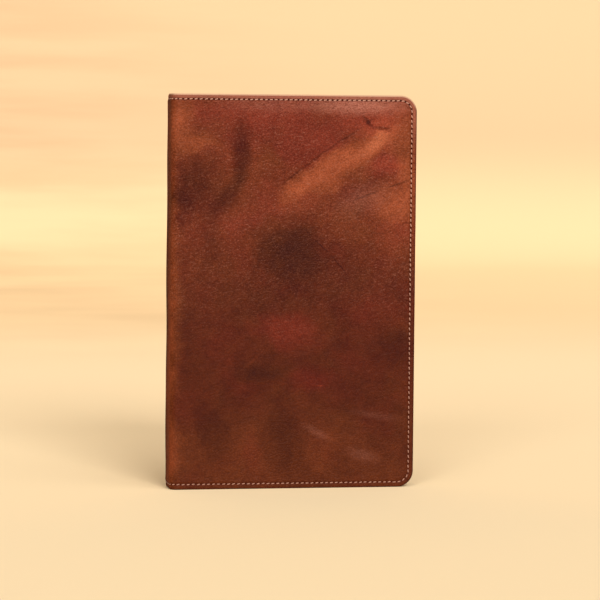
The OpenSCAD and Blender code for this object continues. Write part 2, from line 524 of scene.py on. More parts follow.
def tubes(name, centres, across, upward, widths, heights, values, side):
    """Many short closed tubes. centres, across and upward are (tubes, rings, 3) arrays, and
    widths and heights give each ring's half sizes: a ring is an ellipse in the plane of across
    and upward, and each end closes in a point."""
    count, rings, _ = centres.shape
    turns = np.arange(TUBE_SIDES) * 2 * np.pi / TUBE_SIDES
    ring = (
        centres[:, :, None]
        + across[:, :, None] * (widths[:, :, None] * np.cos(turns))[..., None]
        + upward[:, :, None] * (heights[:, :, None] * np.sin(turns))[..., None]
    )
    points = np.concatenate([ring.reshape(count, -1, 3), centres[:, :1], centres[:, -1:]], axis=1)
    i, j = np.meshgrid(np.arange(rings - 1), np.arange(TUBE_SIDES), indexing="ij")
    near, far = i * TUBE_SIDES + j, i * TUBE_SIDES + (j + 1) % TUBE_SIDES
    quads = np.stack([near, far, far + TUBE_SIDES, near + TUBE_SIDES], axis=2).reshape(-1, 4)
    j, tip = np.arange(TUBE_SIDES), np.full(TUBE_SIDES, rings * TUBE_SIDES)
    after, last = (j + 1) % TUBE_SIDES, (rings - 1) * TUBE_SIDES
    start, end = np.stack([after, j, tip], axis=1), np.stack([last + j, last + after, tip + 1], axis=1)
    step = np.arange(count)[:, None, None] * points.shape[1]
    faces = [(quads + step).reshape(-1, 4), (np.concatenate([start, end]) + step).reshape(-1, 3)]
    return as_mesh(name, points.reshape(-1, 3), faces, side, values)


# ---- Finishes ----


class Finish:
    """A node material being made. Each method adds one node and returns its output."""

    def __init__(self, name, **fixed):
        self.material = bpy.data.materials.new(name)
        self.material.use_nodes = True
        self.tree = self.material.node_tree
        self.tree.nodes.clear()
        output = self.tree.nodes.new("ShaderNodeOutputMaterial")
        self.shader = self.tree.nodes.new("ShaderNodeBsdfPrincipled")
        self.tree.links.new(self.shader.outputs[0], output.inputs[0])
        for socket, value in fixed.items():
            self.shader.inputs[socket.replace("_", " ")].default_value = value

    def node(self, kind, inputs=(), output=0, **settings):
        made = self.tree.nodes.new("ShaderNode" + kind)
        for setting, value in settings.items():
            setattr(made, setting, value)
        for socket, value in dict(inputs).items():
            self.join(made.inputs[socket], value)
        return made.outputs[output]

    def join(self, socket, value):
        if isinstance(value, bpy.types.NodeSocket):
            self.tree.links.new(value, socket)
        elif value is not None:
            socket.default_value = value

    def math(self, operation, *values, clamp=False):
        return self.node("Math", enumerate(values), operation=operation, use_clamp=clamp)

    def times(self, first, second):
        return self.math("MULTIPLY", first, second)

    def added(self, value, share, base):
        """The base plus a share of the value."""
        return self.math("MULTIPLY_ADD", value, share, base)

    def away(self, value):
        return self.math("ABSOLUTE", value)

    def wave(self, value, length):
        """A sine wave of this length along the value."""
        return self.math("SINE", self.times(value, 2 * math.pi / length))

    def object_place(self):
        return self.node("TexCoord", output="Object")

    def vector(self, operation, *values):
        output = 1 if operation in ("LENGTH", "DISTANCE", "DOT_PRODUCT") else 0
        places = (0, 3) if operation == "SCALE" else (0, 1)
        return self.node("VectorMath", zip(places, values), output, operation=operation)

    def place(self, attribute):
        """Coordinates from an attribute of the piece's own mesh."""
        return self.node("Attribute", output="Vector", attribute_name=attribute)

    def parts(self, vector):
        split = self.tree.nodes.new("ShaderNodeSeparateXYZ")
        self.join(split.inputs[0], vector)
        return list(split.outputs)

    def mapped(self, vector, centre=(0, 0, 0), turn=(0, 0, 0), size=(1, 1, 1)):
        """Coordinates from a centre, turned and divided by a size."""
        inputs = {"Vector": vector, "Location": centre, "Rotation": turn, "Scale": size}
        return self.node("Mapping", inputs, vector_type="TEXTURE")

    def noise(self, vector, size, detail=2.0, roughness=0.5, distortion=0.0, output=0):
        inputs = {"Vector": vector, "Scale": 1 / size, "Detail": detail}
        inputs |= {"Roughness": roughness, "Distortion": distortion}
        return self.node("TexNoise", inputs, output)

    def cells(self, vector, size, smoothness):
        """Distance from the middle of the nearest of the cells that the grain is made of."""
        inputs = {"Vector": vector, "Scale": 1 / size, "Smoothness": smoothness}
        return self.node("TexVoronoi", inputs, "Distance", feature="SMOOTH_F1")

    def span(self, value, low, high, to_low=0.0, to_high=1.0, smooth=True):
        inputs = {"Value": value, "From Min": low, "From Max": high, "To Min": to_low, "To Max": to_high}
        kind = "SMOOTHSTEP" if smooth else "LINEAR"
        return self.node("MapRange", inputs, interpolation_type=kind)

    def mix(self, share, first, second):
        return self.node("Mix", {0: share, 6: first, 7: second}, 2, data_type="RGBA")

    def ramp(self, value, colours):
        """Colours at even steps of the value, from 0 to 1."""
        made = self.tree.nodes.new("ShaderNodeValToRGB")
        self.join(made.inputs[0], value)
        elements = made.color_ramp.elements
        while len(elements) < len(colours):
            elements.new(0.5)
        for number, (element, colour) in enumerate(zip(elements, colours)):
            element.position = number / (len(colours) - 1)
            element.color = colour
        return made.outputs[0]

    def shade(self, share, colour, dark, light):
        """From the colour times the dark share to the colour times the light share."""
        return self.mix(share, toned(colour, dark), toned(colour, light))

    def bump(self, height, distance, strength=1.0, normal=None):
        inputs = {"Height": height, "Distance": distance, "Strength": strength}
        if normal is not None:
            inputs["Normal"] = normal
        return self.node("Bump", inputs)

    def done(self, colour, roughness, normal):
        for socket, value in zip(("Base Color", "Roughness", "Normal"), (colour, roughness, normal)):
            self.join(self.shader.inputs[socket], value)
        return self.material


def tint(red, green, blue, share=1.0, gloss=0.0):
    """A screen colour, 0 to 255, as the linear colour that nodes take, less what the gloss adds
    to it, times a share."""
    screen = np.array([red, green, blue]) / 255
    linear = np.where(screen > 0.04045, ((screen + 0.055) / 1.055) ** 2.4, screen / 12.92)
    return (*(float(max(c - gloss, 0.0015)) * share for c in linear), 1.0)


def toned(colour, share):
    """A colour made lighter or darker by a share."""
    return (*(min(1.0, share * c) for c in colour), 1.0)


# How much of its screen colour the leather keeps in the studio's light, and what its gloss adds
LEATHER_SHARE, LEATHER_GLOSS = 0.74, 0.0098


def dye(red, green, blue):
    """The leather's own colour where it looks like this screen colour in the studio's light."""
    return tint(red, green, blue, LEATHER_SHARE, LEATHER_GLOSS)


def paint(piece, material):
    piece.data.materials.clear()
    piece.data.materials.append(material)


def paint_node(node, material):
    """Gives a CAD node that stays its finish, in its object's own material slots."""
    for slot in frame["nodes"][node].material_slots:
        slot.link = "OBJECT"
        slot.material = material


# Screen colours of the dye from its darkest tone to its lightest, brown and red
BROWN = ((60, 30, 21), (86, 43, 27), (112, 56, 33), (138, 69, 42), (164, 83, 53), (190, 104, 70))
RED = ((60, 25, 20), (86, 35, 25), (112, 46, 33), (138, 59, 43), (164, 74, 52), (190, 94, 68))
# Soft marks on the front face and the spine, in millimetres: of the dye and of wear, with a
# painted sheen near the head on the right and painted light down the spine. The columns: the
# centre across and up, the half width and half height, the turn in degrees, how much of it is
# full, what it adds to the tone and what it adds to the redness
MARKS = (
    ((-68, 208), (13, 18), 0, 0.0, 0.24, -0.4),
    ((-56, 196), (15, 8), 0, 0.0, 0.22, -0.2),
    ((-30, 213), (46, 9), 0, 0.2, 0.09, 0.2),
    ((-55.5, 172), (17, 19), 0, 0.2, -0.22, 0.0),
    ((22.5, 183), (43, 9), 32, 0.25, 0.33, -0.5),
    ((6.5, 173), (17, 8), 35, 0.0, 0.06, 0.0),
    ((45.5, 196), (15, 9), 28, 0.0, 0.14, -0.1),
    ((50, 201), (20, 12), 0, 0.0, 0.32, -0.1),
    ((52, 184), (20, 8), 0, 0.0, 0.18, 0.5),
    ((20, 171), (13, 6), 20, 0.0, 0.20, -0.3),
    ((38.5, 172), (22, 7), 26, 0.1, -0.09, 0.2),
    ((56.5, 163), (17, 14), 10, 0.1, 0.27, -0.3),
    ((66, 172), (8, 20), 0, 0.0, 0.12, -0.3),
    ((65, 185), (14, 30), 0, 0.0, 0.14, -0.2),
    ((61, 146), (16, 22), 0, 0.0, 0.12, 0.0),
    # Painted sheen near the head on the right
    ((50.5, 213), (34, 14), 0, 0.0, 0.26, -0.2),
    ((-3.5, 205), (42, 18), 0, 0.2, 0.02, 0.4),
    ((45, 212), (26, 12), 0, 0.2, 0.0, 0.4),
    ((4.5, 165), (16, 10), 0, 0.0, 0.10, 0.0),
    ((-2.5, 136), (26, 23), 0, 0.2, -0.28, -0.2),
    ((25.5, 127), (30, 20), -10, 0.1, -0.04, 0.0),
    ((-49, 140), (8, 26), 0, 0.0, -0.10, 0.0),
    ((-65, 160), (11, 16), 0, 0.0, -0.22, 0.0),
    ((0, 112), (17, 9), 0, 0.0, -0.08, 0.0),
    ((-32, 150), (20, 9), 30, 0.1, 0.09, 0.2),
    ((-68, 104), (8, 8), 0, 0.0, 0.10, -0.2),
    ((-2.5, 90), (26, 12), -12, 0.1, 0.20, 0.4),
    ((46.5, 101), (26, 12), 0, 0.1, 0.06, 0.2),
    ((-17, 66), (17, 8), -8, 0.1, -0.13, -0.4),
    ((57, 80), (16, 14), 0, 0.1, -0.11, 0.2),
    ((12, 62), (18, 9), 0, 0.1, 0.07, 0.4),
    ((-46, 32), (12, 20), 20, 0.1, -0.11, -0.1),
    ((-4, 32), (14, 26), 0, 0.1, -0.10, -0.1),
    ((18, 21), (8, 19), -20, 0.1, 0.10, 0.1),
    ((-24, 26), (6, 18), 25, 0.1, 0.08, 0.2),
    # Painted light: the spine's lower part made as bright as the lit front
    ((-77, 60), (8, 85), 0, 0.5, 0.27, -0.2),
    ((-68, 20), (8, 18), 0, 0.0, 0.10, -0.2),
    ((0, -5), (130, 62), 0, 0.3, 0.06, -0.3),
    # Painted light down the spine
    ((-71.5, 100), (8, 140), 0, 0.0, 0.26, -0.4),
    ((8, 195), (22, 16), 0, 0.0, 0.03, 0.5),
)
# A dark smudge in two strokes, then creases darkened with painted shade, and scratches: the two
# ends, the half width, and what each adds to the tone
SCRATCHES = (
    ((-30.8, 209), (-31.2, 172), 8.0, -0.27),
    ((-31.5, 175), (-46, 157), 8.0, -0.22),
    ((-10, 171), (10, 187), 1.0, -0.16),
    ((4, 182), (26, 198), 1.0, -0.18),
    ((20, 194), (40, 206.5), 1.0, -0.18),
    ((29.5, 162), (51.5, 171), 0.8, -0.22),
    ((50.5, 170), (68.5, 177), 0.8, -0.24),
    ((38.8, 212.5), (45.6, 205), 1.7, -0.36),
    ((44.8, 205.2), (55.5, 205.3), 1.7, -0.36),
    ((46, 211.5), (40.5, 207), 1.5, -0.2),
    ((10.5, 143), (21.5, 133), 0.6, -0.18),
    ((20.5, 134), (32.5, 120), 0.6, -0.18),
    ((13.5, 58.2), (18.5, 58.9), 0.45, 0.3),
    ((55.5, 64.5), (58.5, 63.2), 0.4, 0.2),
    ((-30.5, 67), (-15.5, 80), 1.3, 0.07),
    ((8.5, 35), (43.5, 18), 1.2, 0.06),
)
# Dusty patches, where the wax has bloomed; the two along the head are a painted sheen instead:
# the centre, the half sizes, the turn in degrees and the share of dust and sheen
DUST_AND_SHEEN = (
    ((38, 218), (36, 6.5), 0, 0.55),
    ((-10, 218), (40, 6), 0, 0.18),
    ((14, 32), (12, 3), -28, 0.11),
    ((41, 18.5), (13, 4.5), -15, 0.11),
    ((48, 41.5), (18, 3), -10, 0.08),
    ((40, 165), (21, 11), 20, 0.14),
)
# How far the wide and the fine noise push the marks about, and the fine one the scratches
WIDE_PUSH, FINE_PUSH, SCRATCH_PUSH = 14.0, 7.0, 2.2
# Where a soft mark ends, in its half sizes, and a depth that its spot can't end in
MARK_END, DEEP = 1.15, 1000


def patina(finish, place):
    """The tone of the dyed hide, from dark to light, its redness and its dusty patches. Part of the
    tone is painted light: the hide is lighter towards the head, partly in its own tone and partly as
    painted light, marks on the spine and near the head carry painted light and sheen, and so do the
    dusty patches along the head. Coordinates that two noises push about make the marks' outlines
    uneven; clouds and mottles are added to the marks."""
    wide = finish.vector("SUBTRACT", finish.noise(place, 26, 2, output=1), (0.5, 0.5, 0.5))
    fine = finish.vector("SUBTRACT", finish.noise(place, 6, 3, output=1), (0.5, 0.5, 0.5))
    pushed = finish.vector("ADD", place, finish.vector("SCALE", wide, WIDE_PUSH))
    pushed = finish.vector("ADD", pushed, finish.vector("SCALE", fine, FINE_PUSH))
    nudged = finish.vector("ADD", place, finish.vector("SCALE", fine, SCRATCH_PUSH))
    across, up, _ = finish.parts(pushed)
    clouds = finish.math("SUBTRACT", finish.noise(pushed, 34, 4, 0.6), 0.5)
    mottle = finish.math("SUBTRACT", finish.noise(place, 7, 5, 0.65), 0.5)
    # Lighter towards the head: partly the hide's own tone, partly painted light from above
    tone = finish.span(up, 95, 165, 0.24, 0.46)
    redness = finish.added(finish.noise(pushed, 24, 3, 0.5), 1.0, -0.05)
    # The front's marks stand in for most of its clouds; the back and the spine have clouds alone
    tone = finish.added(clouds, finish.span(across, -68, -95, 0.32, 1.5), tone)
    tone = finish.added(mottle, 0.26, tone)
    for centre, half, turn, full, lighter, redder in MARKS:
        spot = finish.mapped(pushed, (*centre, 0), (0, 0, math.radians(turn)), (*half, DEEP))
        share = finish.span(finish.vector("LENGTH", spot), MARK_END, full)
        tone = finish.added(share, lighter, tone)
        if redder:
            redness = finish.added(share, redder, redness)
    dust_and_sheen = 0.0
    for centre, half, turn, share in DUST_AND_SHEEN:
        spot = finish.mapped(nudged, (*centre, 0), (0, 0, math.radians(turn)), (*half, DEEP))
        spot = finish.span(finish.vector("LENGTH", spot), MARK_END, 0.0)
        dust_and_sheen = finish.added(spot, share, dust_and_sheen)
    for start, end, half, lighter in SCRATCHES:
        run, rise = end[0] - start[0], end[1] - start[1]
        middle = ((start[0] + end[0]) / 2, (start[1] + end[1]) / 2, 0)
        size = (math.hypot(run, rise) / 2 + half, half, DEEP)
        spot = finish.mapped(nudged, middle, (0, 0, math.atan2(rise, run)), size)
        share = finish.span(finish.vector("LENGTH", spot), 1.0, 0.2)
        tone = finish.added(share, lighter, tone)
    return tone, redness, dust_and_sheen


def hide_finish():
    """The outer leather: dye clouds and marks, a crisp pebbled grain with painted highlights on its
    raised points and painted shade in its hollows and creases, burnished rims, a painted highlight
    along the head and painted shade in the needle holes."""
    finish = Finish("outer_leather", Specular_IOR_Level=0.08)
    place = finish.place("hide")
    number, off, inset = finish.parts(finish.place("seam"))
    across, up, depth = finish.parts(place)
    tone, redness, dust_and_sheen = patina(finish, place)
    brown, red = (finish.ramp(tone, [dye(*c) for c in stops]) for stops in (BROWN, RED))
    colour = finish.mix(finish.span(redness, 0.1, 0.9), brown, red)

    grain = finish.cells(place, 0.95, 0.35)
    pores = finish.noise(place, 0.5, 2, 0.6)
    grain_speckle = finish.noise(place, 0.8, 3, 0.7)
    creases = finish.noise(finish.mapped(place, size=(5.5, 1.1, 5.5)), 1.0, 3, 0.65, 0.6)
    leaning = finish.mapped(place, turn=(0, 0, 0.2), size=(2.3, 0.85, 2.3))
    wrinkles = finish.noise(leaning, 1.0, 3, 0.6, 1.2)
    # How strongly the grain's painted highlights and hollow shade show: more towards the head
    weighting = finish.span(up, 70, 125, 0.28, 0.9)
    # Painted shade between the grain's pebbles and in the creases
    colour = finish.mix(finish.span(grain, 0.15, 0.75, 0.0, 0.30), colour, dye(52, 24, 18))
    colour = finish.mix(finish.span(creases, 0.56, 0.74, 0.0, 0.25), colour, dye(60, 28, 20))
    grain_speckle = finish.added(wrinkles, -0.75, finish.added(grain_speckle, 0.75, 0.5))
    # Painted shade in the grain's hollows and painted highlights on its raised points
    painted_pit_shade = finish.times(finish.span(grain_speckle, 0.5, 0.28, 0.0, 0.42), weighting)
    painted_grain_highlights = finish.times(finish.span(grain_speckle, 0.5, 0.74, 0.0, 0.35), weighting)
    painted_grain_highlights = finish.times(painted_grain_highlights, finish.span(tone, 0.1, 0.5, 0.55, 1.0))
    colour = finish.mix(painted_pit_shade, colour, dye(50, 18, 12))
    colour = finish.mix(painted_grain_highlights, colour, dye(184, 124, 104))
    # Pale flecks where the dusty patches lie, and a painted sheen along the head
    flecks = finish.times(dust_and_sheen, finish.span(grain_speckle, 0.3, 0.62, 0.35, 1.3))
    colour = finish.mix(flecks, colour, dye(188, 122, 104))

    # Painted shade in the needle holes between the stitches, and the shade of the seam's groove
    beside = finish.away(finish.math("SUBTRACT", finish.math("FRACT", number), 0.5))
    beside = finish.times(finish.math("SUBTRACT", 0.5, beside), sizes().stitch_pitch / MM)
    squares = finish.math("POWER", beside, 2.0), finish.math("POWER", off, 2.0)
    hole = finish.math("SQRT", finish.math("ADD", *squares))
    holes = finish.times(finish.span(hole, 0.6, 0.3), finish.span(up, 40, COVER_H - 10, 0.45, 1.0))
    groove = finish.span(finish.away(off), 1.0, 0.2, 0.0, 0.35)
    colour = finish.mix(groove, colour, dye(84, 38, 26))
    colour = finish.mix(holes, colour, dye(58, 24, 17))
    # The cut rim is dark. Along the head the strip outside the seam is paler, and the rim's upper edge
    # carries a painted highlight
    hem = finish.times(finish.span(off, -0.2, -0.9), finish.span(up, COVER_H - 40, COVER_H - 4))
    colour = finish.mix(finish.times(hem, 0.4), colour, dye(180, 116, 96))
    rim = finish.span(inset, 0.9, 0.15)
    colour = finish.mix(rim, colour, dye(74, 38, 24))
    # A painted highlight along the head's rim
    pale = finish.times(finish.span(inset, 1.0, 0.5), finish.span(up, COVER_H - 9, COVER_H - 4))
    pale = finish.times(pale, finish.span(depth, 1.9, 1.5))
    colour = finish.mix(finish.times(pale, 0.8), colour, dye(222, 178, 146))

    # The spine is rubbed matt
    rough = finish.span(grain, 0.1, 0.8, 0.4, 0.6)
    rough = finish.math("ADD", rough, finish.span(across, BEND_X, SPINE_X, 0.0, 0.35))
    height = finish.added(grain, -1.0, finish.times(pores, 0.35))
    height = finish.added(creases, -0.9, height)
    height = finish.added(grain_speckle, 0.8, height)
    smooth = finish.span(inset, 0.2, 0.8)
    normal = finish.bump(finish.times(height, smooth), 0.00036, 0.9)
    normal = finish.bump(finish.times(holes, -1.0), 0.00025, 1.0, normal)
    return finish.done(colour, rough, normal)


def suede_finish(name, colour):
    """Suede: a short nap in soft clouds, with a fine fuzz in its bump."""
    finish = Finish(name, Specular_IOR_Level=0.15, Sheen_Weight=0.25, Sheen_Roughness=0.5)
    place = finish.place("hide")
    inset = finish.parts(finish.place("seam"))[2]
    nap = finish.noise(place, 0.35, 3, 0.7)
    clouds = finish.noise(place, 14, 4, 0.6, 0.4)
    tone = finish.added(nap, 0.55, finish.times(clouds, 0.5))
    shade = finish.shade(tone, colour, 0.62, 1.45)
    shade = finish.mix(finish.span(inset, 0.5, 0.1, 0.0, 0.8), shade, tint(60, 31, 20))
    normal = finish.bump(nap, 0.00025, 0.6)
    rough = finish.span(clouds, 0.3, 0.7, 0.82, 0.94)
    return finish.done(shade, rough, normal)


def pocket_finish(colour):
    """Smooth pocket leather: soft dye clouds, a fine grain with painted shade between its pebbles, a
    creased line along the free edge with painted shade in it, painted shade in the seam's groove
    and a burnished rim."""
    finish = Finish("pocket_leather", Specular_IOR_Level=0.35)
    place = finish.place("hide")
    _, off, inset = finish.parts(finish.place("seam"))
    clouds = finish.noise(place, 26, 5, 0.6, 0.6)
    mottle = finish.noise(place, 3.2, 3, 0.6)
    grain = finish.cells(place, 0.7, 0.6)
    tone = finish.added(clouds, 0.75, finish.times(mottle, 0.28))
    shade = finish.shade(tone, colour, 0.58, 1.4)
    # Painted shade between the grain's pebbles
    shade = finish.mix(finish.span(grain, 0.2, 0.8, 0.0, 0.25), shade, toned(colour, 0.58))
    from_edge = finish.parts(finish.place("free_edge"))[0]
    edge = finish.span(finish.away(from_edge), 0.9, 0.1)
    crease = finish.span(finish.away(finish.math("SUBTRACT", from_edge, 2.0)), 0.35, 0.05)
    rim = finish.math("MAXIMUM", edge, finish.span(inset, 0.7, 0.1))
    # A burnished dark for the rim and the free edge, also used as painted shade in the crease
    burnish_and_shade = tint(64, 30, 20)
    shade = finish.mix(finish.math("MAXIMUM", rim, finish.times(crease, 0.7)), shade, burnish_and_shade)
    # Painted shade in the seam's groove
    shade = finish.mix(finish.span(finish.away(off), 0.9, 0.2, 0.0, 0.4), shade, burnish_and_shade)
    height = finish.added(grain, -1.0, finish.times(crease, -1.5))
    normal = finish.bump(height, 0.00015, 0.8)
    rough = finish.span(mottle, 0.3, 0.7, 0.48, 0.6)
    return finish.done(shade, rough, normal)


def thread_finish(colour):
    """Waxed twisted thread: slanting plies as bands of shade and bump, with a few fibres."""
    finish = Finish("thread", Specular_IOR_Level=0.35)
    along, around, number = finish.parts(finish.place("ply"))
    twist = finish.math("ADD", finish.math("DIVIDE", along, 0.62), around)
    twist = finish.math("SINE", finish.times(twist, 2 * math.pi))
    fibres = finish.noise(finish.place("ply"), 0.35, 3, 0.7)
    # A share of wear for each stitch, scattered by its number
    scattered = finish.times(finish.math("SINE", finish.times(number, 12.9898)), 43.7585)
    weighting = finish.math("FRACT", scattered)
    shade = finish.span(twist, -1.0, 0.4, 0.25, 1.0)
    shade = finish.added(fibres, 0.3, finish.math("SUBTRACT", shade, 0.15))
    shade = finish.math(
        "MULTIPLY", shade, finish.span(weighting, 0.0, 1.0, 0.82, 1.0, smooth=False), clamp=True
    )
    colour = finish.shade(shade, colour, 0.45, 1.12)
    # The lower stitches are duller
    up = finish.parts(finish.object_place())[2]
    colour = finish.mix(finish.span(up, 0.2, 0.03, 0.0, 0.3), colour, tint(96, 58, 44))
    normal = finish.bump(finish.added(fibres, 0.4, twist), 0.00012, 0.9)
    rough = finish.span(fibres, 0.3, 0.7, 0.55, 0.75)
    return finish.done(colour, rough, normal)


def cloth_finish(colour):
    """Book cloth: warp and weft as two crossed waves in bump and shade, with slubs."""
    finish = Finish("book_cloth", Specular_IOR_Level=0.25)
    place = finish.place("hide")
    across, up, _ = finish.parts(place)
    warp = finish.wave(across, 0.42)
    weft = finish.wave(up, 0.42)
    weave = finish.added(finish.times(warp, weft), 0.5, 0.5)
    slubs = finish.noise(finish.mapped(place, size=(6, 0.8, 6)), 1.0, 3, 0.6)
    tone = finish.added(weave, 0.5, finish.times(slubs, 0.4))
    shade = finish.shade(tone, colour, 0.6, 2.2)
    normal = finish.bump(finish.added(slubs, 0.4, weave), 0.00012, 0.7)
    rough = finish.span(slubs, 0.3, 0.7, 0.7, 0.85)
    return finish.done(shade, rough, normal)


def endpaper_finish(colour):
    """Laid endpaper: faint close lines, fibres and a little foxing."""
    finish = Finish("endpaper", Specular_IOR_Level=0.2)
    place = finish.object_place()
    laid = finish.wave(finish.parts(place)[2], 0.0014)
    fibres = finish.noise(place, 0.0012, 4, 0.7)
    age = finish.noise(place, 0.035, 4, 0.6)
    tone = finish.added(laid, 0.06, finish.added(fibres, 0.5, finish.times(age, 0.5)))
    normal = finish.bump(finish.added(laid, 0.3, fibres), 0.00004, 0.6)
    rough = finish.span(fibres, 0.3, 0.7, 0.75, 0.88)
    return finish.done(finish.shade(tone, colour, 0.84, 1.08), rough, normal)


def pages_finish(colour):
    """Paper: fibres on the leaves' faces and fine lines of leaf edges round the block, with painted
    shade in the gaps between the leaves.
    """
    finish = Finish("pages", Specular_IOR_Level=0.2)
    through, rim, _ = finish.parts(finish.place("leaf"))
    at = finish.object_place()
    fibres = finish.noise(at, 0.001, 4, 0.7)
    inputs = {"W": through, "Scale": 9.0, "Detail": 3.0, "Roughness": 0.7}
    lines = finish.node("TexNoise", inputs, noise_dimensions="1D")
    age = finish.noise(at, 0.03, 3, 0.6)
    tone = finish.added(fibres, 0.5, finish.times(age, 0.5))
    shade = finish.shade(tone, colour, 0.86, 1.06)
    at_edge = finish.span(rim, 0.5, 0.05)
    # Painted shade in the gaps between the leaves at the block's edges
    between = finish.times(at_edge, finish.span(lines, 0.42, 0.66, 0.0, 0.75))
    shade = finish.mix(between, shade, toned(colour, 0.55))
    height = finish.added(finish.times(lines, at_edge), 3.0, fibres)
    normal = finish.bump(height, 0.00006, 0.7)
    rough = finish.span(fibres, 0.3, 0.7, 0.78, 0.9)
    return finish.done(shade, rough, normal)


def band_finish():
    """Headband: two colours of silk wound in turn, as stripes and ridges, with painted shade between the
    ridges.
    """
    finish = Finish("headband_silk", Specular_IOR_Level=0.4)
    along = finish.parts(finish.place("ply"))[0]
    stripe = finish.wave(along, 1.6)
    ridge = finish.wave(along, 0.4)
    shade = finish.mix(finish.span(stripe, -0.1, 0.1), tint(120, 42, 32), tint(212, 196, 160))
    # Painted shade between the ridges
    shade = finish.mix(finish.span(ridge, 0.2, -1.0, 0.0, 0.5), shade, tint(60, 36, 26))
    normal = finish.bump(ridge, 0.00008, 0.9)
    return finish.done(shade, finish.span(ridge, -1, 1, 0.6, 0.42), normal)


def backdrop_finish(colour):
    """Studio paper: plain on the floor, with painted shade further back and up the sweep, soft bands
    of painted shadow towards the left at the back, and a faint tooth."""
    finish = Finish("studio_paper", Specular_IOR_Level=0.1)
    at = finish.object_place()
    across, back, up = finish.parts(at)
    bands = finish.noise(finish.mapped(at, size=(0.5, 0.5, 0.05)), 1.0, 3, 0.55)
    tooth = finish.noise(at, 0.004, 3, 0.6)
    aside = finish.math("SUBTRACT", 1.0, finish.span(across, -0.1, 0.75))
    far = finish.span(back, 0.7, 1.6)
    wall = finish.span(up, 0.0, 0.19)
    painted_band_shade = finish.times(finish.span(bands, 0.35, 0.7), finish.times(far, aside))
    paper = (*colour, 1.0)
    # Painted shade: darker and warmer up the wall, and a little darker further back on the floor
    painted_wall_shade = (0.69 * colour[0], 0.61 * colour[1], 0.565 * colour[2], 1.0)
    middle = (0.966 * colour[0], 0.90 * colour[1], 0.82 * colour[2], 1.0)
    shade = finish.mix(far, paper, middle)
    shade = finish.mix(wall, shade, painted_wall_shade)
    # Painted shadow in soft bands, towards the left and further back
    shadow = finish.mix(0.5, shade, tint(150, 112, 72))
    shade = finish.mix(finish.times(painted_band_shade, 0.5), shade, shadow)
    rough, normal = finish.span(tooth, 0.3, 0.7, 0.85, 0.95), finish.bump(tooth, 0.0004, 0.15)
    return finish.done(shade, rough, normal)


# ---- Pieces ----


def bend_with_fold(piece, side):
    """Bakes the piece's transform into its mesh, the same on either side."""
    if side > 0:
        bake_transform(piece)
    else:
        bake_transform(piece)


class NOTEBOOKCOVER_OT_leather(bpy.types.Operator):
    """Makes the outer leather, one piece for each half from the middle of the spine to the fore edge"""

    bl_idname = "notebookcover.leather"
    bl_label = "Outer Leather"

    def execute(self, context):
        material = hide_finish()
        for word, side in SIDES:
            piece = cover_layer(
                f"{word}_leather",
                side,
                cover_columns(1.3),
                lambda s, z: outside_depth(s, z, side),
                lambda s, z: LEATHER_D - CLEAR + crown(s, z),
                rounds=(0.55, 0.12),
            )
            paint(piece, material)
            bend_with_fold(piece, side)
            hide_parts(f"{word}_panel", "spine_panel")
        return {"FINISHED"}


class NOTEBOOKCOVER_OT_lining(bpy.types.Operator):
    """Makes the suede lining of the two halves"""

    bl_idname = "notebookcover.lining"
    bl_label = "Lining"

    def execute(self, context):
        material = suede_finish("lining_leather", colours().lining)
        for word, side in SIDES:
            piece = cover_layer(
                f"{word}_lining_leather",
                side,
                cover_columns(2.2),
                lambda s, z: LEATHER_D + CLEAR + crown(s, z),
                lambda s, z: inner_face(INSIDE_D + crown(s, z), s, z),
                rounds=(0.1, 0.3),
                pitch=2.2,
            )
            paint(piece, material)
            bend_with_fold(piece, side)
            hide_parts(f"{word}_lining", "spine_lining")
        return {"FINISHED"}


class NOTEBOOKCOVER_OT_pockets(bpy.types.Operator):
    """Makes the two inner pockets, sewn down round three sides and stepped up over the boards"""

    bl_idname = "notebookcover.pockets"
    bl_label = "Pockets"

    def execute(self, context):
        material = pocket_finish(colours().pocket)
        free = front_s(POCKET[0][0])
        for word, side in SIDES:
            piece = cover_layer(
                f"{word}_pocket_leather",
                side,
                grid_lines(free, FORE_S, 1.5, FREE_RIM),
                lambda s, z: pocket_under(s, z) + CLEAR,
                lambda s, z: inner_face(pocket_under(s, z) + POCKET_T, s, z),
                rounds=(0.12, 0.42),
                free=free,
                pitch=1.5,
            )
            paint(piece, material)
            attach(piece, f"{word}_cover")
            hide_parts(f"{word}_pocket")
        return {"FINISHED"}


